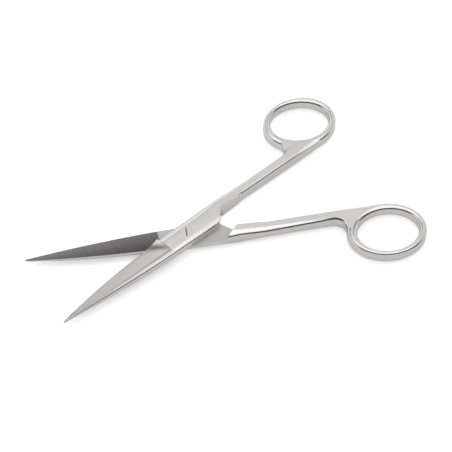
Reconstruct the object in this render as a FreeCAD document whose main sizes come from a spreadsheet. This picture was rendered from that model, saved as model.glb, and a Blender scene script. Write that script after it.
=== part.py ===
import FreeCAD, Part
import Sketcher
import math
import os
from types import SimpleNamespace

# Straight operating scissors, sharp/sharp, 14.5 cm, with a screwed lap joint.
# Each half is drawn closed, in its own frame: the pivot axis is Z, the tip points to -X and the
# ring to +X. Its outer face looks to +Z and its inner face lies on the middle plane. Its cutting
# edge and ring bulge to +Y, and its spine and the inner side of its handle lie towards -Y.
sizes = {
    # pose and clearances
    "openingAngle": 32.4,       # between the two halves as they lie, degrees
    "slideGap": 0.06,           # between the two inner faces at the joint
    "handleGap": 0.3,           # between the two handles just behind the joint
    "boreGap": 0.04,            # round the screw in the half that swings
    "seatGap": 0.01,            # round the screw in the half that holds it
    # joint
    "jointThickness": 3.0,      # of one half, from the middle plane to its outer face
    "jointHeel": 9.8,           # pivot to the end of the ground blade
    "jointReach": 8.0,          # pivot to where the joint starts to narrow
    "jointSpine": 4.95,         # half width on the spine side
    "heelSpine": 4.62,          # the same at the heel of the blade
    "jointBelly": 5.13,         # half width on the cutting side
    "jointWall": 1.0,           # height of the side wall on the cutting side
    "jointCrown": 5.7,          # radius that rounds the outer face over to that wall
    "jointCrownStart": 0.8,     # where that rounding starts
    "spineBevelWidth": 1.95,
    "heelBevelWidth": 1.45,     # the bevel runs on along the blade
    "spineBevelDrop": 0.4,
    # shoulder and step of the lap joint
    "shoulderStart": 11.9,      # where the slanted shoulder leaves the spine side
    "shoulderEnd": 17.8,        # where it meets the handle
    "stepNear": 18.8,           # step of the recess at the inner side of the handle
    "stepFar": 14.3,            # the same at its outer side
    # handle
    "neckThickness": 2.86,      # half thickness just behind the joint
    "neckWall": 1.85,
    "neckWidth": 4.75,
    "neckRidge": 2.7,
    "neckCrown": 4.0,
    "shankStart": 28.0,         # pivot to where the handle has its slim section
    "shankThickness": 2.3,      # half thickness
    "shankWall": 1.65,
    "shankWidth": 4.65,
    "shankRidge": 2.9,
    "shankCrown": 8.0,
    "shankEnd": 53.5,           # pivot to the web in front of the ring
    "shankEndWidth": 3.85,
    "shankEndRidge": 3.17,
    "edgeBreak": 0.3,           # along the inner side of the handle
    # finger ring
    "ringCentre": 71.7,         # pivot to the middle of the ring, along the handle
    "ringLong": 14.75,          # half length of the ring's oval outline
    "ringWide": 12.6,           # half width of it
    "ringTilt": 6.0,            # of that oval against the handle, degrees
    "ringSide": 0.63,           # how far the ring reaches past the line that parts the halves
    "ringStep": 0.1,            # ring lower than the handle, on each face
    "ringRound": 1.04,          # radius along its outer edges
    "holeShift": 0.35,          # middle of the hole from the middle of the ring, along the handle
    "holeRise": 0.36,           # the same across it
    "ringEndBar": 2.99,         # width of the ring's bar at the ends of the ovals
    "ringSideBar": 2.73,        # and at their sides
    "holeTilt": 15.0,
    "holeRound": 1.35,          # radius along the edges of the hole
    "webRadius": 4.0,           # hollow between the handle and the ring
    "webSweep": 80.0,           # angle that it turns through, degrees
    "webReach": 6.5,            # straight side from there into the ring
    "webDip": 0.06,             # how deep the inner side of the handle runs into the ring
    # blade, in three sections: heel, middle and tip
    "middleSection": 34.4,
    "tipSection": 57.6,
    "bladeLength": 58.4,        # pivot to the point
    "heelCut": 4.85,
    "heelLand": 0.7,
    "heelCrest": 2.2,
    "middleCut": 3.65,
    "middleLand": 0.5,
    "middleSpine": 3.03,
    "middleThickness": 2.35,
    "middleCrest": 1.45,
    "middleCrestWidth": 0.7,
    "middleDrop": 0.6,
    "tipCut": 0.62,
    "tipLand": 0.28,
    "tipSpine": 0.4,
    "tipThickness": 0.95,
    "tipCrest": 0.05,
    "tipCrestWidth": 0.1,
    "tipDrop": 0.2,
    "crestDrop": 0.05,          # fall across the crest beside the spine bevel
    "landLean": 0.08,           # how far the narrow land leans back from the edge
    "grindRadius": 30.0,        # wheel that hollowed the outer face
    "hollowRadius": 42.0,       # hollow of the inner face, so that only its edges rub
    "pointWidth": 0.3,          # half width of the blunted point
    "pointThickness": 0.55,
    # pivot screw
    "screwRadius": 1.35,        # plain part that the upper half turns on
    "threadRadius": 1.1,
    "headRadius": 2.35,
    "headHeight": 1.0,
    "headSink": 0.06,           # head below the outer face
    "slotWidth": 0.5,
    "slotDepth": 0.55,
    "slotAngle": 69.5,          # in which the slot came to rest, degrees
}

doc = FreeCAD.newDocument("Scissors")
sheet = doc.addObject("Spreadsheet::Sheet", "Sizes")
for row, (alias, number) in enumerate(sizes.items(), start=1):
    sheet.set("A%d" % row, alias)
    sheet.set("B%d" % row, str(number))
    sheet.setAlias("B%d" % row, alias)
doc.recompute()


# A number together with the spreadsheet expression that gives it.
class Term:
    def __init__(self, value, text):
        self.value = float(value)
        self.text = text

    def __add__(self, other):
        other = term(other)
        return Term(self.value + other.value, "(%s + %s)" % (self.text, other.text))

    def __sub__(self, other):
        other = term(other)
        return Term(self.value - other.value, "(%s - %s)" % (self.text, other.text))

    def __mul__(self, other):
        other = term(other)
        return Term(self.value * other.value, "(%s * %s)" % (self.text, other.text))

    def __truediv__(self, other):
        other = term(other)
        return Term(self.value / other.value, "(%s / %s)" % (self.text, other.text))

    def __pow__(self, power):
        return Term(self.value ** power, "(%s ^ %d)" % (self.text, power))

    def __neg__(self):
        return Term(-self.value, "(0 - %s)" % self.text)


def term(number):
    if isinstance(number, Term):
        return number
    return Term(number, repr(float(number)))


def sine(angle):
    return Term(math.sin(math.radians(angle.value)), "sin(%s)" % angle.text)


def cosine(angle):
    return Term(math.cos(math.radians(angle.value)), "cos(%s)" % angle.text)


def root(area):
    return Term(math.sqrt(area.value), "sqrt(%s)" % area.text)


d = SimpleNamespace(**{alias: Term(sheet.get(alias), "Sizes." + alias) for alias in sizes})
inner = d.slideGap / 2
handleSide = d.handleGap / 2
ringThickness = d.shankThickness - d.ringStep
ringMiddle = root((d.ringLong * sine(d.ringTilt)) ** 2 + (d.ringWide * cosine(d.ringTilt)) ** 2) - d.ringSide
# The inner side of the handle runs straight into the side of the ring.
ringEnd = d.webDip - d.ringSide
handleFall = (handleSide - ringEnd) / (d.ringCentre - d.shankStart)
endSide = handleSide - handleFall * (d.shankEnd - d.shankStart)


def addSketch(body, name, role, shift=None, turn=None):
    plane = next(item for item in body.Origin.OriginFeatures if item.Role == role)
    sketch = body.newObject("Sketcher::SketchObject", name)
    sketch.AttachmentSupport = [(plane, "")]
    sketch.MapMode = "FlatFace"
    if turn:
        axis, angle = turn
        sketch.AttachmentOffset = FreeCAD.Placement(FreeCAD.Vector(), FreeCAD.Rotation(axis, angle.value))
        sketch.setExpression("AttachmentOffset.Rotation.Angle", angle.text)
    for key, distance in (shift or {}).items():
        sketch.setExpression("AttachmentOffset.Base." + key, term(distance).text)
    return sketch


def bind(sketch, kind, places, number):
    index = sketch.addConstraint(Sketcher.Constraint(kind, *places, number.value))
    sketch.setExpression("Constraints[%d]" % index, number.text)


# Draws a closed outline, anticlockwise. A corner is (across, up), or (across, up, radius, side)
# where an arc leads to the next corner: side is "out" for a convex arc and "in" for a hollow one.
def drawOutline(sketch, corners):
    points = [FreeCAD.Vector(term(corner[0]).value, term(corner[1]).value, 0) for corner in corners]
    ends = []
    for index, corner in enumerate(corners):
        start = points[index]
        end = points[(index + 1) % len(points)]
        if len(corner) == 2:
            edge = sketch.addGeometry(Part.LineSegment(start, end))
            ends.append((edge, 1, 2))
            continue
        radius, side = corner[2:]
        if side == "in":
            start, end = end, start
        chord = end - start
        rise = math.sqrt(max(radius.value ** 2 - chord.Length ** 2 / 4, 0))
        left = FreeCAD.Vector(-chord.y, chord.x, 0).normalize()
        centre = (start + end) / 2 + left * rise
        circle = Part.Circle(centre, FreeCAD.Vector(0, 0, 1), radius.value)
        first = math.atan2(start.y - centre.y, start.x - centre.x)
        last = math.atan2(end.y - centre.y, end.x - centre.x)
        edge = sketch.addGeometry(Part.ArcOfCircle(circle, first, last))
        ends.append((edge, 2, 1) if side == "in" else (edge, 1, 2))
    for index, (edge, start, end) in enumerate(ends):
        following, next_start, _ = ends[(index + 1) % len(ends)]
        sketch.addConstraint(Sketcher.Constraint("Coincident", edge, end, following, next_start))
        bind(sketch, "DistanceX", (-1, 1, edge, start), term(corners[index][0]))
        bind(sketch, "DistanceY", (-1, 1, edge, start), term(corners[index][1]))
        if len(corners[index]) > 2:
            bind(sketch, "Radius", (edge,), corners[index][2])


# Draws an oval about the sketch's own origin, its long axis across.
def drawOval(sketch, long, wide):
    middle = FreeCAD.Vector()
    oval = Part.Ellipse(FreeCAD.Vector(long.value, 0, 0), FreeCAD.Vector(0, wide.value, 0), middle)
    edge = sketch.addGeometry(oval)
    sketch.exposeInternalGeometry(edge)
    sketch.addConstraint(Sketcher.Constraint("Coincident", edge, 3, -1, 1))
    longAxis = edge + 1
    wideAxis = edge + 2
    longEnd = 1 if sketch.Geometry[longAxis].StartPoint.x > 0 else 2
    wideEnd = 1 if sketch.Geometry[wideAxis].StartPoint.y > 0 else 2
    bind(sketch, "DistanceX", (-1, 1, longAxis, longEnd), long)
    sketch.addConstraint(Sketcher.Constraint("DistanceY", -1, 1, longAxis, longEnd, 0))
    bind(sketch, "DistanceY", (-1, 1, wideAxis, wideEnd), wide)


def addLoft(body, name, sketches, ruled):
    loft = body.newObject("PartDesign::AdditiveLoft", name)
    loft.Profile = sketches[0]
    loft.Sections = sketches[1:]
    loft.Ruled = ruled
    for sketch in sketches:
        sketch.Visibility = False
    doc.recompute()
    return loft


# Cuts the outline away above or below the sketch's plane and checks that metal went.
def addPocket(body, name, sketch, downward):
    doc.recompute()
    before = body.Shape.Volume
    pocket = body.newObject("PartDesign::Pocket", name)
    pocket.Profile = sketch
    pocket.Type = "ThroughAll"
    pocket.Reversed = not downward
    doc.recompute()
    if body.Shape.Volume >= before:
        raise RuntimeError("%s cuts nothing" % name)
    return pocket


# Joint and handle are one forged bar of full thickness, equal above and below the middle plane.
def barSection(body, name, station, innerSide, bevel, drop, top, ridge, width, wall, crown):
    sketch = addSketch(body, name, "YZ_Plane", {"z": station})
    drawOutline(sketch, [
        (innerSide, drop - top),
        (innerSide + bevel, -top),
        (ridge, -top, crown, "out"),
        (width, -wall),
        (width, wall, crown, "out"),
        (ridge, top),
        (innerSide + bevel, top),
        (innerSide, top - drop),
    ])
    return sketch


def addForging(body):
    heelBevel = (d.heelBevelWidth, d.spineBevelDrop)
    spineBevel = (d.spineBevelWidth, d.spineBevelDrop)
    jointTop = (d.jointThickness, d.jointCrownStart, d.jointBelly, d.jointWall, d.jointCrown)
    neckTop = (d.neckThickness, d.neckRidge, d.neckWidth, d.neckWall, d.neckCrown)
    shankTop = (d.shankThickness, d.shankRidge, d.shankWidth, d.shankWall, d.shankCrown)
    endTop = (d.shankThickness, d.shankEndRidge, d.shankEndWidth, d.shankWall, d.shankCrown)
    edge = (d.edgeBreak, d.edgeBreak)
    sections = [
        barSection(body, "HeelSection", -d.jointHeel, -d.heelSpine, *heelBevel, *jointTop),
        barSection(body, "JointSection", d.jointReach, -d.jointSpine, *spineBevel, *jointTop),
        barSection(body, "NeckSection", d.stepNear, -d.jointSpine, *spineBevel, *neckTop),
        barSection(body, "ShankSection", d.shankStart, handleSide, *edge, *shankTop),
        barSection(body, "ShankEndSection", d.shankEnd, endSide, *edge, *endTop),
    ]
    return addLoft(body, "Forging", sections, True)


def cutShoulder(body):
    sketch = addSketch(body, "ShoulderSketch", "XY_Plane", {"z": -d.jointThickness * 2})
    beyond = d.jointSpine * 2
    drawOutline(sketch, [
        (d.shoulderStart, -beyond),
        (d.shankStart, -beyond),
        (d.shankStart, handleSide),
        (d.shoulderEnd, handleSide),
        (d.shoulderStart, -d.jointSpine),
    ])
    return addPocket(body, "Shoulder", sketch, False)


# The recess takes half the thickness away, up to a slanted step that clears the other shoulder.
def cutRecess(body):
    sketch = addSketch(body, "RecessSketch", "XY_Plane", {"z": inner})
    beyond = d.jointBelly * 2
    slant = (d.stepNear - d.stepFar) / d.neckWidth
    drawOutline(sketch, [
        (-d.jointHeel * 2, -beyond),
        (d.stepNear + slant * beyond, -beyond),
        (d.stepNear - slant * beyond, beyond),
        (-d.jointHeel * 2, beyond),
    ])
    return addPocket(body, "Recess", sketch, True)


# A section of the blade: inner face, land at the cutting edge, hollow outer face, crest,
# spine bevel and spine.
def bladeSection(body, name, station, cut, land, spine, thickness, crest, crestWidth, drop):
    sketch = addSketch(body, name, "YZ_Plane", {"z": -station})
    drawOutline(sketch, [
        (-spine, inner, d.hollowRadius, "in"),
        (cut, inner),
        (cut - d.landLean, land, d.grindRadius, "in"),
        (-crest, thickness),
        (-crest - crestWidth, thickness - d.crestDrop),
        (-spine, thickness - drop),
    ])
    return sketch


def addBlade(body):
    heelCrestWidth = d.heelSpine - d.heelBevelWidth - d.heelCrest
    heel = bladeSection(body, "BladeHeel", d.jointHeel, d.heelCut, d.heelLand, d.heelSpine,
                        d.jointThickness, d.heelCrest, heelCrestWidth, d.spineBevelDrop)
    middle = bladeSection(body, "BladeMiddle", d.middleSection, d.middleCut, d.middleLand,
                          d.middleSpine, d.middleThickness, d.middleCrest, d.middleCrestWidth,
                          d.middleDrop)
    tip = bladeSection(body, "BladeTip", d.tipSection, d.tipCut, d.tipLand, d.tipSpine,
                       d.tipThickness, d.tipCrest, d.tipCrestWidth, d.tipDrop)
    addLoft(body, "Blade", [heel, middle, tip], False)
    start = bladeSection(body, "PointStart", d.tipSection, d.tipCut, d.tipLand, d.tipSpine,
                         d.tipThickness, d.tipCrest, d.tipCrestWidth, d.tipDrop)
    end = bladeSection(body, "PointEnd", d.bladeLength, d.pointWidth, d.tipLand / 2,
                       d.pointWidth / 2, d.pointThickness, d.tipCrest, d.tipCrestWidth, d.tipDrop)
    return addLoft(body, "Point", [start, end], True)


# One level of the flat web between the handle and the ring, drawn in plan. Its hollow outer side
# turns from the handle into the ring, and its inner side runs straight on from the handle.
def webSection(body, name, level, outerBevel, innerBevel, ringBevel):
    sketch = addSketch(body, name, "XY_Plane", {"z": level})
    hollow = d.webRadius + outerBevel
    hollowEnd = d.shankEnd + hollow * sine(d.webSweep)
    hollowRise = d.shankEndWidth + d.webRadius - hollow * cosine(d.webSweep)
    drawOutline(sketch, [
        (d.shankEnd, endSide + innerBevel),
        (d.ringCentre, ringEnd + ringBevel),
        (d.ringCentre, ringMiddle),
        (hollowEnd + d.webReach * cosine(d.webSweep), hollowRise + d.webReach * sine(d.webSweep)),
        (hollowEnd, hollowRise, hollow, "in"),
        (d.shankEnd, d.shankEndWidth - outerBevel),
    ])
    return sketch


# The rounded edge of the ring, or of its hole, as (level, inset) from its side wall to its face.
def edgeRound(radius):
    start = ringThickness - radius
    turns = (0, 30, 60, 90)
    return [(start + radius * math.sin(math.radians(turn)), radius * (1 - math.cos(math.radians(turn))))
            for turn in turns]


def addWeb(body):
    bevel = d.shankEndWidth - d.shankEndRidge
    bevelDrop = d.shankThickness - d.shankWall
    edgeLevel = d.shankThickness - d.edgeBreak
    edgeBevel = bevel * (bevelDrop - d.edgeBreak) / bevelDrop
    none = term(0)
    upper = [
        (ringThickness - d.ringRound, none, none, none),
        (d.shankWall, none, none, d.ringRound / 8),
        (edgeLevel, edgeBevel, none, d.ringRound * 0.4),
        (d.shankThickness, bevel, d.edgeBreak, d.ringRound + d.edgeBreak),
    ]
    lower = [(-level, *bevels) for level, *bevels in reversed(upper)]
    sections = [webSection(body, "WebSection%d" % index, *level)
                for index, level in enumerate(lower + upper)]
    return addLoft(body, "Web", sections, True)


# A sketch in plan about the middle of an oval, turned with it.
def addOvalSketch(body, name, middle, tilt, level):
    shift = {"x": middle[0], "y": middle[1], "z": level}
    return addSketch(body, name, "XY_Plane", shift, (FreeCAD.Vector(0, 0, 1), -tilt))


# The ring is an oval disc, and its hole a second oval, turned and set off against the first, so
# that the bar is stronger beside the handle. The edges of both are rounded in narrow steps.
def addRing(body):
    middle = (d.ringCentre, ringMiddle)
    upper = edgeRound(d.ringRound)
    levels = [(-level, inset) for level, inset in reversed(upper)] + upper
    sections = []
    for index, (level, inset) in enumerate(levels):
        section = addOvalSketch(body, "RingSection%d" % index, middle, d.ringTilt, level)
        drawOval(section, d.ringLong - inset, d.ringWide - inset)
        sections.append(section)
    addLoft(body, "Ring", sections, True)
    middle = (d.ringCentre + d.holeShift, ringMiddle + d.holeRise)
    upper = [(level, -inset) for level, inset in edgeRound(d.holeRound)]
    upper.append((d.shankThickness + d.edgeBreak, -d.holeRound * 2))
    levels = [(-level, inset) for level, inset in reversed(upper)] + upper
    sections = []
    for index, (level, inset) in enumerate(levels):
        section = addOvalSketch(body, "HoleSection%d" % index, middle, d.holeTilt, level)
        drawOval(section, d.ringLong - d.ringEndBar - inset, d.ringWide - d.ringSideBar - inset)
        sections.append(section)
    hole = body.newObject("PartDesign::SubtractiveLoft", "Hole")
    hole.Profile = sections[0]
    hole.Sections = sections[1:]
    hole.Ruled = True
    for section in sections:
        section.Visibility = False
    doc.recompute()
    return hole


# Turns a profile, given as (radius, height) corners, about the pivot axis.
def turnProfile(body, kind, name, corners):
    sketch = addSketch(body, name + "Profile", "XZ_Plane")
    drawOutline(sketch, corners)
    doc.recompute()
    turned = body.newObject("PartDesign::" + kind, name)
    turned.Profile = sketch
    turned.ReferenceAxis = (sketch, ["V_Axis"])
    doc.recompute()
    return turned


# The upper half turns on the plain part of the screw, and its outer face is countersunk.
def boreForHead(body):
    bore = d.screwRadius + d.boreGap
    head = d.headRadius + d.boreGap
    headTop = d.jointThickness - d.headSink
    coneStart = headTop - d.headHeight
    before = body.Shape.Volume
    turnProfile(body, "Groove", "Countersink", [
        (0, -d.jointThickness),
        (bore, -d.jointThickness),
        (bore, coneStart),
        (head, headTop),
        (head, d.jointThickness * 2),
        (0, d.jointThickness * 2),
    ])
    return before - body.Shape.Volume


# The lower half holds the threaded end.
def boreForThread(body):
    bore = d.threadRadius + d.seatGap
    before = body.Shape.Volume
    turnProfile(body, "Groove", "ThreadBore", [
        (0, -d.jointThickness),
        (bore, -d.jointThickness),
        (bore, d.jointThickness * 2),
        (0, d.jointThickness * 2),
    ])
    return before - body.Shape.Volume


def makeHalf(label, cutBore, roll, swing):
    body = doc.addObject("PartDesign::Body", label)
    body.Label = label
    addForging(body)
    cutShoulder(body)
    cutRecess(body)
    addWeb(body)
    addRing(body)
    addBlade(body)
    if cutBore(body) <= 0:
        raise RuntimeError("%s has no bore" % label)
    body.Placement = FreeCAD.Placement(FreeCAD.Vector(), FreeCAD.Rotation(swing.value, 0, roll))
    body.setExpression("Placement.Rotation.Yaw", swing.text)
    body.setExpression("Placement.Base.z", d.jointThickness.text)
    return body


# Heights from the middle plane: the thread ends flush with the lower half's outer face.
def makeScrew():
    body = doc.addObject("PartDesign::Body", "pivot_screw")
    body.Label = "pivot_screw"
    top = d.jointThickness - d.headSink
    turnProfile(body, "Revolution", "Screw", [
        (0, -d.jointThickness),
        (d.threadRadius, -d.jointThickness),
        (d.threadRadius, -inner),
        (d.screwRadius, -inner),
        (d.screwRadius, top - d.headHeight),
        (d.headRadius, top),
        (0, top),
    ])
    turn = (FreeCAD.Vector(0, 0, 1), d.slotAngle)
    slot = addSketch(body, "SlotSketch", "XY_Plane", {"z": top - d.slotDepth}, turn)
    drawOutline(slot, [
        (-d.headRadius * 2, -d.slotWidth / 2),
        (d.headRadius * 2, -d.slotWidth / 2),
        (d.headRadius * 2, d.slotWidth / 2),
        (-d.headRadius * 2, d.slotWidth / 2),
    ])
    addPocket(body, "Slot", slot, False)
    body.setExpression("Placement.Base.z", d.jointThickness.text)
    return body


halfOpening = d.openingAngle / 2
parts = [
    makeHalf("upper_half", boreForHead, 0, halfOpening),
    makeHalf("lower_half", boreForThread, 180, -halfOpening),
    makeScrew(),
]
doc.recompute()

for item in doc.Objects:
    if "Invalid" in item.State or "Error" in item.State:
        raise RuntimeError("%s failed: %s" % (item.Name, item.State))
os.makedirs("parts", exist_ok=True)
for part in parts:
    if part.Shape.isNull() or not part.Shape.isValid() or len(part.Shape.Solids) != 1:
        raise RuntimeError("%s is not one valid solid" % part.Label)
    part.Shape.exportStep("parts/%s.step" % part.Label)
    print(part.Label, round(part.Shape.Volume, 2), part.Shape.BoundBox)
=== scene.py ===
import bpy
import bmesh
import math
from mathutils import Matrix, Vector


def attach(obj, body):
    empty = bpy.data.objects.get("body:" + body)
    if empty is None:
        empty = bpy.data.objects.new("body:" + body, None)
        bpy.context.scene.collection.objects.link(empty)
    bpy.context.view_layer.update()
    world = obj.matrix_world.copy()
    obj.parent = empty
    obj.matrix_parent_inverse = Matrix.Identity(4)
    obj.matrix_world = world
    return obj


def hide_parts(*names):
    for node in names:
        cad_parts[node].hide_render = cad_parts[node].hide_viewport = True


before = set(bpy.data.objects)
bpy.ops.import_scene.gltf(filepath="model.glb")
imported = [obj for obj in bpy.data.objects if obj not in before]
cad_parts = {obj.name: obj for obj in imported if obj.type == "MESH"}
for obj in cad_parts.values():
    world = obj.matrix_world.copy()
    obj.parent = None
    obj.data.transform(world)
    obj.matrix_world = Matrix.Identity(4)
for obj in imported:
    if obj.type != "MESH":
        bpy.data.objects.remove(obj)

scene = bpy.context.scene
scene.view_settings.view_transform = "Standard"
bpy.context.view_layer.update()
print("frame loaded")

# The photograph's camera, fitted for a frame of 452 x 452. Angles in degrees, lengths in metres.
photoView = {
    "azimuth": -29.83,
    "elevation": 47.05,
    "roll": -1.72,
    "distance": 0.6363,
    "target": (0.0166, 0.0004, 0.0),
    "lens": 138.98,
}


def makeCamera():
    azimuth, elevation, roll = (math.radians(photoView[key]) for key in ("azimuth", "elevation", "roll"))
    back = Vector((math.sin(azimuth) * math.cos(elevation), -math.cos(azimuth) * math.cos(elevation),
                   math.sin(elevation)))
    level = Vector((math.cos(azimuth), math.sin(azimuth), 0))
    upright = back.cross(level)
    right = level * math.cos(roll) - upright * math.sin(roll)
    up = level * math.sin(roll) + upright * math.cos(roll)
    lens = bpy.data.cameras.new("photoCamera")
    lens.lens = photoView["lens"]
    lens.sensor_width = 36
    camera = bpy.data.objects.new("photoCamera", lens)
    scene.collection.objects.link(camera)
    place = Matrix((right, up, back)).transposed().to_4x4()
    place.translation = Vector(photoView["target"]) + back * photoView["distance"]
    camera.matrix_world = place
    scene.camera = camera


makeCamera()
print("camera set")

# Each half is drawn closed and in millimetres: pivot on Z, tip to -X, ring to +X, outer face up,
# cutting edge to +Y. Every face has a patch number, which gives its finish and its crisp edges.
patches = ["wall", "bevel", "flat", "crown", "edgeWall", "round", "innerFace", "ride", "land",
           "hollow", "crest", "spineBevel", "spineWall", "shoulder", "recess", "step", "ring",
           "bore", "seat", "cap", "chamfer"]
patchNumber = {name: index for index, name in enumerate(patches)}

# Lengths that both halves and the screw share.
jointSizes = {
    "opening": 32.4,        # between the halves as they lie, degrees
    "thickness": 3.0,
    "slide": 0.03,          # from the middle plane to an inner face
    "shoulder": ((11.9, -4.95), (17.8, 0.15)),
    "step": ((18.8, 0.0), (14.3, 4.75)),
}
weld = {"drawn": 1e-5, "joined": 2e-4}      # points nearer than this become one, in a piece drawn and joined


def arcPoints(start, end, radius, hollow, steps):
    first, last = (end, start) if hollow else (start, end)
    chord = last - first
    rise = math.sqrt(max(radius ** 2 - chord.length ** 2 / 4, 0))
    centre = (first + last) / 2 + Vector((-chord.y, chord.x)).normalized() * rise
    begin = math.atan2(first.y - centre.y, first.x - centre.x)
    finish = math.atan2(last.y - centre.y, last.x - centre.x)
    if finish < begin:
        finish += 2 * math.pi
    points = []
    for step in range(steps + 1):
        angle = begin + (finish - begin) * step / steps
        points.append(centre + Vector((math.cos(angle), math.sin(angle))) * radius)
    return points[::-1] if hollow else points


# Shortens a side at both ends and divides it evenly.
def cutBack(points, fromStart, fromEnd, steps):
    lengths = [0.0]
    for first, last in zip(points, points[1:]):
        lengths.append(lengths[-1] + (last - first).length)
    result = []
    for step in range(steps + 1):
        goal = fromStart + (lengths[-1] - fromStart - fromEnd) * step / steps
        index = max(k for k in range(len(points) - 1) if lengths[k] <= max(goal, 0))
        share = (goal - lengths[index]) / (lengths[index + 1] - lengths[index])
        result.append(points[index].lerp(points[index + 1], share))
    return result


# A corner is (across, up, patch, softness), or with (radius, hollow) after it where an arc starts.
# Its softness is the length that is rounded away on both sides of it.
def outline(corners, arcSteps=12, softSteps=5):
    sides = []
    for corner, following in zip(corners, corners[1:] + corners[:1]):
        start, end = Vector(corner[:2]), Vector(following[:2])
        curved = len(corner) > 4
        side = arcPoints(start, end, corner[4], corner[5], arcSteps) if curved else [start, end]
        sides.append(cutBack(side, corner[3], following[3], arcSteps if curved else 1))
    points, marks = [], []
    for index, corner in enumerate(corners):
        before, after = sides[index - 1][-1], sides[index][0]
        for step in range(softSteps if corner[3] > 0 else 0):
            share = step / softSteps
            points.append(before * (1 - share) ** 2 + Vector(corner[:2]) * 2 * share * (1 - share)
                          + after * share ** 2)
            marks.append("round")
        points += sides[index][:-1]
        marks += [corner[2]] * (len(sides[index]) - 1)
    return points, marks


def newPiece(name, work):
    bmesh.ops.recalc_face_normals(work, faces=work.faces)
    mesh = bpy.data.meshes.new(name)
    work.to_mesh(mesh)
    work.free()
    piece = bpy.data.objects.new(name, mesh)
    scene.collection.objects.link(piece)
    return piece


def skinRings(name, rings, marks, capPatch):
    work = bmesh.new()
    layer = work.faces.layers.int.new("patch")
    rows = [[work.verts.new(point) for point in ring] for ring in rings]
    count = len(rings[0])
    for lower, upper in zip(rows, rows[1:]):
        for index in range(count):
            other = (index + 1) % count
            face = work.faces.new((lower[index], lower[other], upper[other], upper[index]))
            face[layer] = patchNumber[marks[index]]
    for row in (rows[0][::-1], rows[-1]):
        work.faces.new(row)[layer] = patchNumber[capPatch]
    bmesh.ops.remove_doubles(work, verts=work.verts, dist=weld["drawn"])
    return newPiece(name, work)


def prism(name, points, bottom, top, sidePatch, capPatch):
    rings = [[Vector((x, y, z)) for x, y in points] for z in (bottom, top)]
    return skinRings(name, rings, [sidePatch] * len(points), capPatch)


def plainMesh(piece):
    bpy.context.view_layer.update()
    return bpy.data.meshes.new_from_object(piece.evaluated_get(bpy.context.evaluated_depsgraph_get()))


def combine(piece, other, operation):
    step = piece.modifiers.new("combine", "BOOLEAN")
    step.operation = operation
    step.solver = "EXACT"
    step.object = other
    mesh = plainMesh(piece)
    piece.modifiers.clear()
    piece.data = mesh
    bpy.data.objects.remove(other)
    return piece


barSizes = {
    # station, inner side, bevel width, bevel drop, half thickness, ridge, width, wall, crown
    # radius, softness of the inner edge, of the bevel's upper edge and of the outer edge
    "heel": (-9.8, -4.62, 1.45, 0.4, 3.0, 0.8, 5.13, 1.0, 5.7, 0.7, 0.3, 0.5),
    "joint": (8.0, -4.95, 1.95, 0.4, 3.0, 0.8, 5.13, 1.0, 5.7, 0.7, 0.8, 0.7),
    "neck": (18.8, -4.95, 1.95, 0.4, 2.86, 2.7, 4.75, 1.85, 4.0, 0.7, 0.8, 0.75),
    "shank": (28.0, 0.15, 0.55, 0.4, 2.3, 2.9, 4.65, 1.45, 8.0, 0.33, 0.25, 1.0),
    "end": (53.5, -0.29, 0.55, 0.4, 2.3, 3.17, 3.85, 1.45, 8.0, 0.33, 0.25, 0.75),
    "ring": (71.7, -0.57, 1.3, 0.5, 2.19, 3.25, 3.85, 1.5, 8.0, 0.2, 0.6, 0.6),
    "spacing": 2.0,
    "webRadius": 4.0,       # hollow between the handle and the ring
    "webSweep": 80.0,
    "webReach": 6.5,
    "webSteps": 14,
    "reachSteps": 4,
}


def barSection(values):
    _, side, bevel, drop, top, ridge, width, wall, crown, innerSoft, bevelSoft, outerSoft = values
    return outline([
        (side, drop - top, "bevel", innerSoft),
        (side + bevel, -top, "flat", bevelSoft),
        (ridge, -top, "crown", 0, crown, False),
        (width, -wall, "edgeWall", outerSoft),
        (width, wall, "crown", outerSoft, crown, False),
        (ridge, top, "flat", 0),
        (side + bevel, top, "bevel", bevelSoft),
        (side, top - drop, "wall", innerSoft),
    ])


# The handle's section is carried on through the web: its inner half runs straight into the side
# of the ring, and its outer half turns round the hollow into the bar.
def webRings():
    end, ring = barSizes["end"], barSizes["ring"]
    radius, turn = barSizes["webRadius"], math.radians(barSizes["webSweep"])
    centre = Vector((end[0], end[6] + radius))
    heading = Vector((math.cos(turn), math.sin(turn)))
    steps = barSizes["webSteps"] + barSizes["reachSteps"]
    rings = []
    for step in range(1, steps + 1):
        share = min(1, step / barSizes["webSteps"])
        blend = share * share * (3 - 2 * share)
        angle = turn * share
        beyond = max(0, step - barSizes["webSteps"]) / barSizes["reachSteps"] * barSizes["webReach"]
        outward = Vector((-math.sin(angle), math.cos(angle)))
        outer = centre - outward * radius + heading * beyond
        across = step / steps
        dip = 0.25 * max(0, across - 0.9) / 0.1
        inner = Vector((end[0] + (ring[0] - end[0]) * across, end[1] + (ring[1] - end[1]) * across + dip))
        values = [a + (b - a) * blend for a, b in zip(end, ring)]
        points, marks = barSection(values)
        middle = (values[1] + values[6]) / 2
        row = []
        for y, z in points:
            if y < middle:
                row.append(Vector((inner.x, inner.y + y - values[1], z)))
            else:
                place = outer - outward * (values[6] - y)
                row.append(Vector((place.x, place.y, z)))
        rings.append(row)
    return rings


def makeBar():
    keys = [barSizes[key] for key in ("heel", "joint", "neck", "shank", "end")]
    rings = []
    for first, last in zip(keys, keys[1:]):
        (start, marks), (finish, _) = barSection(first), barSection(last)
        steps = max(1, round((last[0] - first[0]) / barSizes["spacing"]))
        for step in range(steps):
            share = step / steps
            x = first[0] + (last[0] - first[0]) * share
            rings.append([Vector((x, *a.lerp(b, share))) for a, b in zip(start, finish)])
    rings.append([Vector((keys[-1][0], *point)) for point in finish])
    return skinRings("bar", rings + webRings(), marks, "cap")


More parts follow.
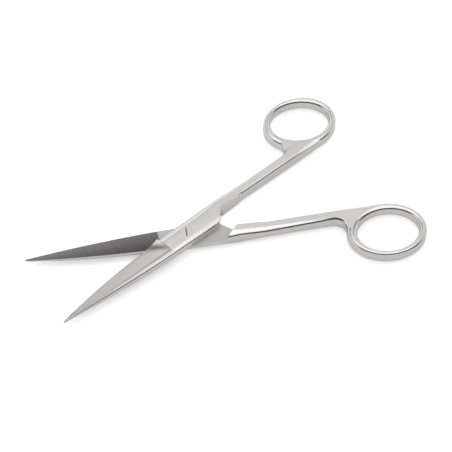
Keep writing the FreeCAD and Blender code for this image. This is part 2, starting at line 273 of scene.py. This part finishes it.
bladeSizes = {
    # pivot to section, cutting edge, land, spine, thickness, crest, crest width, spine bevel
    # drop, softness of the spine's edge
    "heel": (9.8, 4.85, 0.7, 4.62, 3.0, 2.2, 0.97, 0.4, 0.7),
    "middle": (34.4, 3.65, 0.5, 3.03, 2.35, 1.45, 0.7, 0.6, 0.5),
    "tip": (57.6, 0.62, 0.28, 0.4, 0.95, 0.05, 0.1, 0.2, 0.15),
    "point": (58.4, 0.3, 0.14, 0.15, 0.55, 0.05, 0.05, 0.15, 0.05),
    "crestDrop": 0.05,
    "landLean": 0.08,
    "grindRadius": 30.0,    # hollow of the outer face
    "hollowRadius": 90.0,   # hollow of the inner face
    "ride": 0.8,            # honed band along the cutting edge
    "runOut": 7.0,          # length in which the wheel left the outer face, before the joint
    "runOutLand": 2.45,     # height of the cutting side where it did
    "stations": 56,
}


def bladeSection(values):
    station, cut, land, spine, thickness, crest, crestWidth, drop, soft = values
    low = jointSizes["slide"]
    points, marks = outline([
        (-spine, low, "innerFace", 0, bladeSizes["hollowRadius"], True),
        (cut - min(bladeSizes["ride"], cut * 0.4), low, "ride", 0),
        (cut, low, "land", 0),
        (cut - bladeSizes["landLean"], land, "hollow", 0, bladeSizes["grindRadius"], True),
        (-crest, thickness, "crest", 0),
        (-crest - crestWidth, thickness - bladeSizes["crestDrop"], "spineBevel", 0),
        (-spine, thickness - drop, "spineWall", soft),
    ])
    return -station, points, marks


def makeBlade():
    (x0, heel, marks), (x1, middle, _), (x2, tip, _), (x3, point, _) = (
        bladeSection(bladeSizes[key]) for key in ("heel", "middle", "tip", "point"))
    station, cut, _, *others = bladeSizes["heel"]
    _, full, _ = bladeSection((station, cut, bladeSizes["runOutLand"], *others))
    rings = []
    for step in range(bladeSizes["stations"] + 1):
        x = x0 + (x2 - x0) * step / bladeSizes["stations"]
        a = (x - x1) * (x - x2) / ((x0 - x1) * (x0 - x2))
        b = (x - x0) * (x - x2) / ((x1 - x0) * (x1 - x2))
        c = (x - x0) * (x - x1) / ((x2 - x0) * (x2 - x1))
        left = max(0, 1 - (x0 - x) / bladeSizes["runOut"]) ** 2
        rings.append([Vector((x, *(p * a + q * b + r * c + (f - p) * left)))
                      for p, q, r, f in zip(heel, middle, tip, full)])
    rings.append([Vector((x3, *place)) for place in point])
    return skinRings("blade", rings, marks, "cap")


ringSizes = {
    "centre": 71.7,
    "long": 14.74,
    "wide": 12.59,
    "tilt": 6.0,
    "side": 0.63,           # how far the ring reaches past the line that parts the halves
    "holeShift": 0.35,
    "holeRise": 0.36,
    "holeLong": 11.76,
    "holeWide": 9.87,
    "holeTilt": 15.0,
    "thickness": 2.2,
    "round": 1.04,
    "holeRound": 1.35,
    "barWidth": 2.75,       # at which the section is drawn before it fills the space between the ovals
    "steps": 144,
}
ringTilt = math.radians(ringSizes["tilt"])
ringMiddle = Vector((ringSizes["centre"], math.hypot(ringSizes["long"] * math.sin(ringTilt),
                    ringSizes["wide"] * math.cos(ringTilt)) - ringSizes["side"]))
holeMiddle = ringMiddle + Vector((ringSizes["holeShift"], ringSizes["holeRise"]))


def ringProfile():
    width, top = ringSizes["barWidth"], ringSizes["thickness"]
    outer, hole = ringSizes["round"], ringSizes["holeRound"]
    points, _ = outline([
        (hole, -top, "ring", 0),
        (width - outer, -top, "ring", 0, outer, False),
        (width, outer - top, "ring", 0),
        (width, top - outer, "ring", 0, outer, False),
        (width - outer, top, "ring", 0),
        (hole, top, "ring", 0, hole, False),
        (0, top - hole, "ring", 0),
        (0, hole - top, "ring", 0, hole, False),
    ], 8)
    return points


def addSocket(tree, name, kind, default=None, inOut="INPUT"):
    socket = tree.interface.new_socket(name=name, in_out=inOut, socket_type=kind)
    if default is not None:
        socket.default_value = default


def mathNode(tree, operation, *values):
    node = tree.nodes.new("ShaderNodeMath")
    node.operation = operation
    for socket, value in zip(node.inputs, values):
        if isinstance(value, (int, float)):
            socket.default_value = value
        else:
            tree.links.new(value, socket)
    return node.outputs[0]


def ovalNodes(tree, angle, long, wide, tilt):       # the point of a tilted oval at an angle
    turned = mathNode(tree, "ADD", angle, tilt)
    place = tree.nodes.new("ShaderNodeCombineXYZ")
    tree.links.new(mathNode(tree, "MULTIPLY", mathNode(tree, "COSINE", turned), long), place.inputs["X"])
    tree.links.new(mathNode(tree, "MULTIPLY", mathNode(tree, "SINE", turned), wide), place.inputs["Y"])
    rotate = tree.nodes.new("ShaderNodeVectorRotate")
    rotate.rotation_type = "Z_AXIS"
    tree.links.new(place.outputs[0], rotate.inputs["Vector"])
    tree.links.new(mathNode(tree, "MULTIPLY", tilt, -1), rotate.inputs["Angle"])
    return rotate.outputs[0]


# Sweeps the section round a circle, then moves it into the space between the hole's oval and the
# ring's outer oval.
def ringTree():
    tree = bpy.data.node_groups.new("ringSweep", "GeometryNodeTree")
    addSocket(tree, "Geometry", "NodeSocketGeometry")
    for name in ("Hole half length", "Hole half width", "Hole tilt", "Ring half length", "Ring half width",
                 "Ring tilt", "Drawn width"):
        addSocket(tree, name, "NodeSocketFloat", 1.0)
    addSocket(tree, "Hole offset", "NodeSocketVector")
    addSocket(tree, "Steps", "NodeSocketInt", 64)
    addSocket(tree, "Finish", "NodeSocketMaterial")
    addSocket(tree, "Geometry", "NodeSocketGeometry", None, "OUTPUT")
    new = tree.nodes.new
    link = tree.links.new
    start = new("NodeGroupInput")
    end = new("NodeGroupOutput")
    circle = new("GeometryNodeCurvePrimitiveCircle")
    circle.inputs["Radius"].default_value = 1
    link(start.outputs["Steps"], circle.inputs["Resolution"])
    upright = new("GeometryNodeSetCurveNormal")
    upright.mode = "Z_UP"
    link(circle.outputs["Curve"], upright.inputs["Curve"])
    sweep = new("GeometryNodeCurveToMesh")
    link(upright.outputs["Curve"], sweep.inputs["Curve"])
    link(start.outputs["Geometry"], sweep.inputs["Profile Curve"])
    position = new("GeometryNodeInputPosition")
    parts = new("ShaderNodeSeparateXYZ")
    link(position.outputs[0], parts.inputs[0])
    angle = mathNode(tree, "ARCTAN2", parts.outputs["Y"], parts.outputs["X"])
    squares = mathNode(tree, "ADD", mathNode(tree, "POWER", parts.outputs["X"], 2),
                       mathNode(tree, "POWER", parts.outputs["Y"], 2))
    share = mathNode(tree, "DIVIDE", mathNode(tree, "SUBTRACT", mathNode(tree, "SQRT", squares), 1),
                     start.outputs["Drawn width"])
    hole = ovalNodes(tree, angle, start.outputs["Hole half length"], start.outputs["Hole half width"],
                     start.outputs["Hole tilt"])
    ring = ovalNodes(tree, angle, start.outputs["Ring half length"], start.outputs["Ring half width"],
                     start.outputs["Ring tilt"])
    moved = new("ShaderNodeVectorMath")
    link(hole, moved.inputs[0])
    link(start.outputs["Hole offset"], moved.inputs[1])
    between = new("ShaderNodeMix")
    between.data_type = "VECTOR"
    link(share, between.inputs["Factor"])
    between.clamp_factor = False
    vectors = [socket for socket in between.inputs if socket.type == "VECTOR"]
    link(moved.outputs[0], vectors[-2])
    link(ring, vectors[-1])
    plan = new("ShaderNodeSeparateXYZ")
    link(next(socket for socket in between.outputs if socket.type == "VECTOR"), plan.inputs[0])
    place = new("ShaderNodeCombineXYZ")
    link(plan.outputs["X"], place.inputs["X"])
    link(plan.outputs["Y"], place.inputs["Y"])
    link(parts.outputs["Z"], place.inputs["Z"])
    move = new("GeometryNodeSetPosition")
    link(sweep.outputs["Mesh"], move.inputs["Geometry"])
    link(place.outputs[0], move.inputs["Position"])
    real = new("GeometryNodeRealizeInstances")
    link(move.outputs["Geometry"], real.inputs["Geometry"])
    finish = new("GeometryNodeSetMaterial")
    link(real.outputs["Geometry"], finish.inputs["Geometry"])
    link(start.outputs["Finish"], finish.inputs["Material"])
    link(finish.outputs["Geometry"], end.inputs["Geometry"])
    return tree


def makeRing(material):
    profile = bpy.data.curves.new("ringProfile", "CURVE")
    profile.dimensions = "3D"
    spline = profile.splines.new("POLY")
    points = ringProfile()
    spline.points.add(len(points) - 1)
    for point, (across, up) in zip(spline.points, points):
        point.co = (across, up, 0, 1)
    spline.use_cyclic_u = True
    maker = bpy.data.objects.new("ringMaker", profile)
    scene.collection.objects.link(maker)
    modifier = maker.modifiers.new("sweep", "NODES")
    modifier.node_group = ringTree()
    values = {
        "Hole half length": ringSizes["holeLong"],
        "Hole half width": ringSizes["holeWide"],
        "Hole tilt": math.radians(ringSizes["holeTilt"]),
        "Ring half length": ringSizes["long"],
        "Ring half width": ringSizes["wide"],
        "Ring tilt": ringTilt,
        "Drawn width": ringSizes["barWidth"],
        "Hole offset": (ringSizes["holeShift"], ringSizes["holeRise"], 0.0),
        "Steps": ringSizes["steps"],
        "Finish": material,
    }
    for item in modifier.node_group.interface.items_tree:
        if item.in_out == "INPUT" and item.name in values:
            modifier[item.identifier] = values[item.name]
    mesh = plainMesh(maker)
    bpy.data.objects.remove(maker)
    work = bmesh.new()
    work.from_mesh(mesh)
    layer = work.faces.layers.int.new("patch")
    for face in work.faces:
        face[layer] = patchNumber["ring"]
    bmesh.ops.remove_doubles(work, verts=work.verts, dist=weld["drawn"])
    work.transform(Matrix.Translation((*ringMiddle, 0)))
    return newPiece("ring", work)


def ovalPoints(middle, long, wide, tilt, steps=96):
    turn = Matrix.Rotation(-tilt, 2)
    return [tuple(middle + turn @ Vector((long * math.cos(2 * math.pi * step / steps),
                                          wide * math.sin(2 * math.pi * step / steps))))
            for step in range(steps)]


def lathe(name, corners, marks, steps=72):      # corners are (radius, height), from axis to axis
    rings = []
    onAxis = 1e-4       # the axis itself is drawn as a very small circle
    for radius, height in corners:
        radius = max(radius, onAxis)
        rings.append([Vector((radius * math.cos(2 * math.pi * step / steps),
                              radius * math.sin(2 * math.pi * step / steps), height))
                      for step in range(steps)])
    work = bmesh.new()
    layer = work.faces.layers.int.new("patch")
    rows = [[work.verts.new(point) for point in ring] for ring in rings]
    for lower, upper, mark in zip(rows, rows[1:], marks):
        for index in range(steps):
            other = (index + 1) % steps
            face = work.faces.new((lower[index], lower[other], upper[other], upper[index]))
            face[layer] = patchNumber[mark]
    for row in (rows[0][::-1], rows[-1]):
        work.faces.new(row)[layer] = patchNumber["cap"]
    return newPiece(name, work)


screwSizes = {
    "radius": 1.35,
    "thread": 1.1,
    "head": 2.35,
    "headHeight": 1.0,
    "sink": 0.02,
    "gap": 0.015,
    "seat": 0.01,
    "slotWidth": 0.42,
    "slotDepth": 0.6,
    "slotReach": 5.0,       # of the cutter, to each side of the axis
    "slotAngle": 69.5,
}
headTop = jointSizes["thickness"] - screwSizes["sink"]
aboveJoint = 2 * jointSizes["thickness"]
edgeSizes = {
    "chamfer": 0.09,        # along the crisp edges that are left
    "sharpest": 38.0,       # only edges sharper than this have it, degrees
    "same": 30.0,           # up to these angles a face is shaded with its like,
    "running": 50.0,        # a rounded edge with the face that it runs into,
    "level": 6.0,           # and a curve with the flat face that it starts from
}
crispPairs = [{"land", "ride"}, {"land", "innerFace"}, {"land", "hollow"}, {"flat", "bore"},
              {"flat", "cap"}]


def softenEdges(work, layer):
    chosen = []
    for edge in work.edges:
        if len(edge.link_faces) != 2:
            continue
        pair = {patches[face[layer]] for face in edge.link_faces}
        if len(pair) == 2 and pair not in crispPairs and "round" not in pair:
            if edge.calc_face_angle(0) > math.radians(edgeSizes["sharpest"]):
                chosen.append(edge)
    made = bmesh.ops.bevel(work, geom=chosen, offset=edgeSizes["chamfer"], offset_type="OFFSET",
                           segments=2, profile=0.5, affect="EDGES", clamp_overlap=False)
    for face in made["faces"]:
        face[layer] = patchNumber["chamfer"]
    limit = jointSizes["thickness"]
    for vertex in work.verts:
        vertex.co.z = max(-limit, min(limit, vertex.co.z))


# Each main face keeps its own slope up to its border. A rounded edge takes the slope of the face
# that it runs into, and a curve that starts level on a flat face takes that of the flat face.
def setNormals(mesh):
    work = bmesh.new()
    work.from_mesh(mesh)
    layer = work.faces.layers.int["patch"]
    softPatches = {patchNumber["round"], patchNumber["chamfer"]}
    levelPatches = {patchNumber["flat"], patchNumber["recess"]}
    same, running, level = (math.cos(math.radians(edgeSizes[key])) for key in ("same", "running", "level"))
    areas = [face.calc_area() for face in work.faces]
    work.faces.index_update()
    normals = []
    for face in work.faces:
        own, patch = face.normal.copy(), face[layer]
        for vertex in face.verts:
            sums = {}
            for other in vertex.link_faces:
                near = own.dot(other.normal)
                kind = other[layer]
                if kind == patch:
                    wanted = near > same
                elif patch in softPatches:
                    wanted = kind not in softPatches and near > running
                else:
                    wanted = kind in levelPatches and near > level
                if wanted:
                    sums[kind] = sums.get(kind, Vector()) + other.normal * areas[other.index]
            others = [total.normalized() for kind, total in sums.items() if kind != patch]
            best = max(others, key=own.dot) if others else sums.get(patch, own).normalized()
            normals.append(best if best.length > 0.5 else own)
    work.free()
    for face in mesh.polygons:
        face.use_smooth = True
    mesh.normals_split_custom_set(normals)


def markSlope(mesh):        # how level the surface lies, 1 on a level face and 0 on an upright one
    slope = mesh.attributes.new("level", "FLOAT", "CORNER")
    for value, normal in zip(slope.data, mesh.corner_normals):
        value.value = abs(normal.vector.z)


def finishPiece(piece, work, turn, materials, numberOf):
    work.transform(Matrix.Scale(0.001, 4) @ Matrix.Translation((0, 0, jointSizes["thickness"])) @ turn)
    work.to_mesh(piece.data)
    work.free()
    piece.data.materials.clear()
    for material in materials:
        piece.data.materials.append(material)
    for face, patch in zip(piece.data.polygons, piece.data.attributes["patch"].data):
        face.material_index = numberOf.get(patches[patch.value], 0)
    setNormals(piece.data)
    markSlope(piece.data)
    return piece


def makeHalf(name, materials, roll, swing, boreCorners, boreMarks):
    half = makeBar()
    beyond = 4 * jointSizes["thickness"]
    (startX, startY), (endX, endY) = jointSizes["shoulder"]
    combine(half, prism("shoulderCut", [(startX, -beyond), (barSizes["shank"][0], -beyond),
                                        (barSizes["shank"][0], endY), (endX, endY), (startX, startY)],
                        -beyond, beyond, "shoulder", "shoulder"), "DIFFERENCE")
    (nearX, nearY), (farX, farY) = jointSizes["step"]
    slant = (nearX - farX) / (farY - nearY)
    recess = prism("recessCut", [(-2 * beyond, -beyond), (nearX + slant * beyond, -beyond),
                                 (nearX - slant * beyond, beyond), (-2 * beyond, beyond)],
                   -beyond, jointSizes["slide"], "step", "recess")
    combine(half, recess, "DIFFERENCE")
    inset = (ringSizes["holeRound"] + ringSizes["barWidth"] - ringSizes["round"]) / 2
    hollow = ovalPoints(holeMiddle, ringSizes["holeLong"] + inset, ringSizes["holeWide"] + inset,
                        math.radians(ringSizes["holeTilt"]))
    combine(half, prism("webHollow", hollow, -beyond, beyond, "cap", "cap"), "DIFFERENCE")
    combine(half, makeRing(materials[0]), "UNION")
    combine(half, makeBlade(), "UNION")
    combine(half, lathe("bore", boreCorners, boreMarks), "DIFFERENCE")
    work = bmesh.new()
    work.from_mesh(half.data)
    bmesh.ops.remove_doubles(work, verts=work.verts, dist=weld["joined"])
    layer = work.faces.layers.int["patch"]
    softenEdges(work, layer)
    openEdges = sum(len(edge.link_faces) != 2 for edge in work.edges)
    print(name, "faces", len(work.faces), "open edges", openEdges)
    half.name = name
    half.data.name = name
    turn = Matrix.Rotation(math.radians(swing), 4, "Z") @ Matrix.Rotation(math.radians(roll), 4, "X")
    return finishPiece(half, work, turn, materials, halfFinishOf)


def makeScrew(materials):
    s = screwSizes
    bottom = -jointSizes["thickness"]
    middle = -jointSizes["slide"]
    screw = lathe("pivotScrew", [
        (0, bottom), (s["thread"], bottom), (s["thread"], middle), (s["radius"], middle),
        (s["radius"], headTop - s["headHeight"]), (s["head"], headTop), (0, headTop)],
        ["cap", "bore", "seat", "bore", "seat", "flat"])
    turn = Matrix.Rotation(math.radians(s["slotAngle"]), 2)
    wide, reach = s["slotWidth"] / 2, s["slotReach"]
    corners = [tuple(turn @ Vector(corner))
               for corner in ((-reach, -wide), (reach, -wide), (reach, wide), (-reach, wide))]
    slot = prism("slotCut", corners, headTop - s["slotDepth"], aboveJoint, "step", "recess")
    combine(screw, slot, "DIFFERENCE")
    work = bmesh.new()
    work.from_mesh(screw.data)
    bmesh.ops.remove_doubles(work, verts=work.verts, dist=weld["joined"])
    return finishPiece(screw, work, Matrix.Identity(4), materials, screwFinishOf)


grain = {
    "fineDetail": 3.0,
    "fineRoughness": 0.6,
    "broadDetail": 2.0,
    "broadScale": (0.35, 0.16, 0.16),
    "height": 0.00001,      # of the lines, in metres
}


# Fine parallel grinding lines with broader uneven streaks. They run along X of the vector.
def grindGroup():
    group = bpy.data.node_groups.new("grindLines", "ShaderNodeTree")
    addSocket(group, "Vector", "NodeSocketVector")
    addSocket(group, "Line width", "NodeSocketFloat", 0.0001)
    addSocket(group, "Line length", "NodeSocketFloat", 0.004)
    addSocket(group, "Depth", "NodeSocketFloat", 0.2)
    addSocket(group, "Lines", "NodeSocketFloat", None, "OUTPUT")
    addSocket(group, "Streaks", "NodeSocketFloat", None, "OUTPUT")
    addSocket(group, "Normal", "NodeSocketVector", None, "OUTPUT")
    new = group.nodes.new
    link = group.links.new
    start = new("NodeGroupInput")
    end = new("NodeGroupOutput")
    parts = new("ShaderNodeSeparateXYZ")
    link(start.outputs["Vector"], parts.inputs[0])
    lineSpace = new("ShaderNodeCombineXYZ")
    for axis, size in (("X", "Line length"), ("Y", "Line width"), ("Z", "Line width")):
        link(mathNode(group, "DIVIDE", parts.outputs[axis], start.outputs[size]), lineSpace.inputs[axis])
    fine = new("ShaderNodeTexNoise")
    fine.inputs["Scale"].default_value = 1.0
    fine.inputs["Detail"].default_value = grain["fineDetail"]
    fine.inputs["Roughness"].default_value = grain["fineRoughness"]
    link(lineSpace.outputs[0], fine.inputs["Vector"])
    broadSpace = new("ShaderNodeVectorMath")
    broadSpace.operation = "MULTIPLY"
    broadSpace.inputs[1].default_value = grain["broadScale"]
    link(lineSpace.outputs[0], broadSpace.inputs[0])
    broad = new("ShaderNodeTexNoise")
    broad.inputs["Scale"].default_value = 1.0
    broad.inputs["Detail"].default_value = grain["broadDetail"]
    link(broadSpace.outputs[0], broad.inputs["Vector"])
    bump = new("ShaderNodeBump")
    bump.inputs["Distance"].default_value = grain["height"]
    link(start.outputs["Depth"], bump.inputs["Strength"])
    link(fine.outputs["Fac"], bump.inputs["Height"])
    link(fine.outputs["Fac"], end.inputs["Lines"])
    link(broad.outputs["Fac"], end.inputs["Streaks"])
    link(bump.outputs["Normal"], end.inputs["Normal"])
    return group


grindLines = grindGroup()


def rangeNode(tree, value, start, end, low, high, kind="LINEAR"):
    node = tree.nodes.new("ShaderNodeMapRange")
    node.interpolation_type = kind
    for name, number in (("From Min", start), ("From Max", end), ("To Min", low), ("To Max", high)):
        node.inputs[name].default_value = number
    tree.links.new(value, node.inputs["Value"])
    return node.outputs["Result"]


shading = {
    "sloping": 0.95,        # level value under which a face has the roughness of a sloping one
    "paintedShadeStart": 0.01,     # distances from the pivot between which the painted shade changes
    "paintedShadeEnd": 0.058,
    "linesLow": 0.25,       # part of the lines' range that changes the roughness
    "linesHigh": 0.75,
}
finishes = {
    # colour, painted shade at the joint and at the tip (factors on the colour that paint the blade's
    # reflection darker or lighter along it), roughness of a level face and of a sloping one, spread of the
    # roughness, turn of the lines against the blade, line width, line length, depth, contrast of the streaks
    "Satin": ((0.75, 0.735, 0.71), 1, 1, 0.45, 0.17, 0.05, 0, 0.00014, 0.006, 0.5, 0.11),
    # the hollow's painted shade makes it darker towards the tip
    "Hollow": ((0.68, 0.662, 0.63), 0.86, 0.68, 0.45, 0.17, 0.05, 25, 0.00014, 0.006, 0.5, 0.11),
    # the ground inner face: its lines and lower roughness are its own, its dark colour is a painted dark
    # reflection, and its painted shade makes it darker at the joint and lighter towards the tip
    "GroundFaceDarkReflection": ((0.23, 0.222, 0.226), 0.72, 1.2, 0.2, 0.2, 0.04, 70, 0.0002, 0.005, 0.3, 0.16),
    "JointFlat": ((0.60, 0.585, 0.57), 1, 1, 0.45, 0.3, 0.06, 35, 0.0002, 0.0006, 0.6, 0.1),
    "Honed": ((0.62, 0.61, 0.59), 1, 1, 0.24, 0.2, 0.03, 0, 0.0001, 0.003, 0.2, 0.03),
    # the crest's dark colour is a painted dark reflection, a dark line between the hollow and the spine
    # bevel
    "CrestDarkReflection": ((0.38, 0.37, 0.36), 1, 1, 0.24, 0.2, 0.03, 0, 0.0001, 0.003, 0.2, 0.03),
    "Screw": ((0.74, 0.725, 0.70), 1, 1, 0.42, 0.25, 0.05, 20, 0.0001, 0.001, 0.3, 0.05),
    # the slot's dark colour is painted shade inside the screw's slot
    "Slot": ((0.22, 0.21, 0.20), 1, 1, 0.5, 0.5, 0.05, 20, 0.0001, 0.001, 0.3, 0.05),
}


def steel(side, finish, swing):
    colour, jointPaintedShade, tipPaintedShade, levelRough, slopeRough, spread, turn, *lines = finishes[finish]
    lineWidth, lineLength, depth, contrast = lines
    material = bpy.data.materials.new(side + finish)
    material.use_nodes = True
    tree = material.node_tree
    surface = tree.nodes["Principled BSDF"]
    surface.inputs["Metallic"].default_value = 1
    place = tree.nodes.new("ShaderNodeTexCoord")
    mapping = tree.nodes.new("ShaderNodeMapping")
    mapping.inputs["Rotation"].default_value = (0, 0, math.radians(turn + swing))
    tree.links.new(place.outputs["Object"], mapping.inputs["Vector"])
    grind = tree.nodes.new("ShaderNodeGroup")
    grind.node_tree = grindLines
    grind.inputs["Line width"].default_value = lineWidth
    grind.inputs["Line length"].default_value = lineLength
    grind.inputs["Depth"].default_value = depth
    tree.links.new(mapping.outputs[0], grind.inputs["Vector"])
    shade = tree.nodes.new("ShaderNodeMix")
    shade.data_type = "RGBA"
    shade.inputs["A"].default_value = (*[part * (1 - contrast) for part in colour], 1)
    shade.inputs["B"].default_value = (*[min(1, part * (1 + contrast)) for part in colour], 1)
    tree.links.new(grind.outputs["Streaks"], shade.inputs["Factor"])
    # painted shade: the colour is scaled from the joint's factor to the tip's by the distance from the pivot
    along = tree.nodes.new("ShaderNodeVectorMath")
    along.operation = "LENGTH"
    tree.links.new(place.outputs["Object"], along.inputs[0])
    paintedShadeFactor = rangeNode(tree, along.outputs["Value"], shading["paintedShadeStart"], shading["paintedShadeEnd"],
                     jointPaintedShade, tipPaintedShade)
    paintedShadeColour = tree.nodes.new("ShaderNodeVectorMath")
    paintedShadeColour.operation = "SCALE"
    tree.links.new(shade.outputs["Result"], paintedShadeColour.inputs[0])
    tree.links.new(paintedShadeFactor, paintedShadeColour.inputs["Scale"])
    tree.links.new(paintedShadeColour.outputs[0], surface.inputs["Base Color"])
    level = tree.nodes.new("ShaderNodeAttribute")
    level.attribute_name = "level"
    base = rangeNode(tree, level.outputs["Fac"], shading["sloping"], 1,
                     slopeRough, levelRough, "SMOOTHSTEP")
    uneven = rangeNode(tree, grind.outputs["Lines"], shading["linesLow"], shading["linesHigh"],
                       -spread, spread)
    tree.links.new(mathNode(tree, "ADD", base, uneven), surface.inputs["Roughness"])
    tree.links.new(grind.outputs["Normal"], surface.inputs["Normal"])
    return material


halfFinishes = ["Satin", "GroundFaceDarkReflection", "JointFlat", "Honed", "CrestDarkReflection", "Hollow"]
finishByPatch = {"innerFace": "GroundFaceDarkReflection", "recess": "JointFlat", "ride": "Honed", "land": "Honed",
                 "crest": "CrestDarkReflection", "hollow": "Hollow", "spineBevel": "Hollow", "chamfer": "Honed",
                 "step": "Honed"}
halfFinishOf = {patch: halfFinishes.index(finish) for patch, finish in finishByPatch.items()}
screwFinishes = ["Screw", "Slot"]
# the slot's faces get the dark colour that paints shade into them
slotShadeNumber = screwFinishes.index("Slot")
screwFinishOf = {"recess": slotShadeNumber, "step": slotShadeNumber}


def steels(side, names, swing):
    return [steel(side, name, swing) for name in names]


swing = jointSizes["opening"] / 2
headBore = screwSizes["radius"] + screwSizes["gap"]
headWide = screwSizes["head"] + screwSizes["gap"]
threadBore = screwSizes["thread"] + screwSizes["seat"]
belowInside = -1.0      # the bores start below the inner face, and end above the half
upperHalf = makeHalf("upperHalf", steels("upper", halfFinishes, -swing), 0, swing, [
    (0, belowInside), (headBore, belowInside), (headBore, headTop - screwSizes["headHeight"]),
    (headWide, headTop), (headWide, aboveJoint), (0, aboveJoint)], ["cap", "bore", "seat", "bore", "cap"])
lowerHalf = makeHalf("lowerHalf", steels("lower", halfFinishes, swing), 180, -swing, [
    (0, belowInside), (threadBore, belowInside), (threadBore, aboveJoint), (0, aboveJoint)],
    ["cap", "bore", "cap"])
pivotScrew = makeScrew(steels("pivot", screwFinishes, 0))
for piece, node, body, slot in ((upperHalf, "upper_half", "upper", "upper_steel"),
                                (lowerHalf, "lower_half", "lower", "lower_steel"),
                                (pivotScrew, "pivot_screw", "lower", "screw_steel")):
    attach(piece, body)
    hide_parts(node)
print("halves and screw made")

studio = {
    # the world is a dark room with a bright patch of ceiling, which leans towards the camera, and
    # a low bright wall round the other sides of the table; angles in degrees
    "towardsCamera": (-0.4974, -0.8675),
    "towardsWall": (0.2588, 0.9659),
    "dark": 0.08,
    "ceiling": 1.15,
    "ceilingLean": 2.0,
    "ceilingHalf": 45.0,
    "wall": 1.0,
    "wallTop": 33.0,
    "wallHalf": 95.0,
    "fade": 7.0,
    "softboxSize": 1.1,
    "softboxHeight": 0.9,
    "softboxPower": 0.6,
    "softboxPlace": (0.12, 0.05),
    "floorReach": 6.0,
    "floorColour": 0.82,
    "floorRoughness": 0.8,
    "cameraLift": 0.52,     # white that the floor adds for the camera
    "steelLift": 0.1,       # and in reflections
}


def fadeNode(tree, value, outside, inside):
    return rangeNode(tree, value, outside, inside, 0, 1, "SMOOTHSTEP")


def alongNode(tree, parts, direction):      # how far a direction of view points to one side of the room
    return mathNode(tree, "ADD", mathNode(tree, "MULTIPLY", parts.outputs["X"], direction[0]),
                    mathNode(tree, "MULTIPLY", parts.outputs["Y"], direction[1]))


def makeWorld():
    world = bpy.data.worlds.new("studio")
    scene.world = world
    world.use_nodes = True
    tree = world.node_tree
    place = tree.nodes.new("ShaderNodeTexCoord")
    parts = tree.nodes.new("ShaderNodeSeparateXYZ")
    tree.links.new(place.outputs["Generated"], parts.inputs[0])
    height = parts.outputs["Z"]
    lean, half, fade, top, width = (math.radians(studio[key]) for key in (
        "ceilingLean", "ceilingHalf", "fade", "wallTop", "wallHalf"))
    ahead = alongNode(tree, parts, studio["towardsCamera"])
    overhead = mathNode(tree, "ADD", mathNode(tree, "MULTIPLY", ahead, math.sin(lean)),
                        mathNode(tree, "MULTIPLY", height, math.cos(lean)))
    ceiling = fadeNode(tree, overhead, math.cos(half + fade), math.cos(half - fade))
    low = fadeNode(tree, height, math.sin(top + fade), math.sin(top - fade))
    justOverOne = 1.0001        # keeps the root above zero straight overhead
    level = mathNode(tree, "SQRT", mathNode(tree, "SUBTRACT", justOverOne,
                                            mathNode(tree, "POWER", height, 2)))
    beside = mathNode(tree, "DIVIDE", alongNode(tree, parts, studio["towardsWall"]), level)
    around = fadeNode(tree, beside, math.cos(width + 2 * fade), math.cos(width - 2 * fade))
    wall = mathNode(tree, "MULTIPLY", low, around)
    bright = mathNode(tree, "ADD",
                      mathNode(tree, "MULTIPLY", ceiling, studio["ceiling"] - studio["dark"]),
                      mathNode(tree, "MULTIPLY", wall, studio["wall"] - studio["dark"]))
    tree.links.new(mathNode(tree, "ADD", bright, studio["dark"]),
                   tree.nodes["Background"].inputs["Color"])


def makeFloor():
    mesh = bpy.data.meshes.new("floor")
    reach = studio["floorReach"]
    corners = [(-reach, -reach, 0), (reach, -reach, 0), (reach, reach, 0), (-reach, reach, 0)]
    mesh.from_pydata(corners, [], [(0, 1, 2, 3)])
    floor = bpy.data.objects.new("floor", mesh)
    scene.collection.objects.link(floor)
    table = bpy.data.materials.new("whiteTable")
    table.use_nodes = True
    tree = table.node_tree
    surface = tree.nodes["Principled BSDF"]
    surface.inputs["Base Color"].default_value = (*[studio["floorColour"]] * 3, 1)
    surface.inputs["Roughness"].default_value = studio["floorRoughness"]
    surface.inputs["Specular IOR Level"].default_value = 0
    ray = tree.nodes.new("ShaderNodeLightPath")
    mirrored = mathNode(tree, "MAXIMUM", ray.outputs["Is Glossy Ray"], ray.outputs["Is Transmission Ray"])
    lift = mathNode(tree, "ADD",
                    mathNode(tree, "MULTIPLY", ray.outputs["Is Camera Ray"], studio["cameraLift"]),
                    mathNode(tree, "MULTIPLY", mirrored, studio["steelLift"]))
    white = tree.nodes.new("ShaderNodeEmission")
    both = tree.nodes.new("ShaderNodeAddShader")
    tree.links.new(lift, white.inputs["Strength"])
    tree.links.new(surface.outputs[0], both.inputs[0])
    tree.links.new(white.outputs[0], both.inputs[1])
    tree.links.new(both.outputs[0], tree.nodes["Material Output"].inputs["Surface"])
    mesh.materials.append(table)


def makeSoftbox():
    light = bpy.data.lights.new("softbox", "AREA")
    light.shape = "SQUARE"
    light.size = studio["softboxSize"]
    light.energy = studio["softboxPower"]
    lamp = bpy.data.objects.new("softbox", light)
    scene.collection.objects.link(lamp)
    lamp.location = (*studio["softboxPlace"], studio["softboxHeight"])


makeWorld()
makeFloor()
makeSoftbox()
print("stage set")
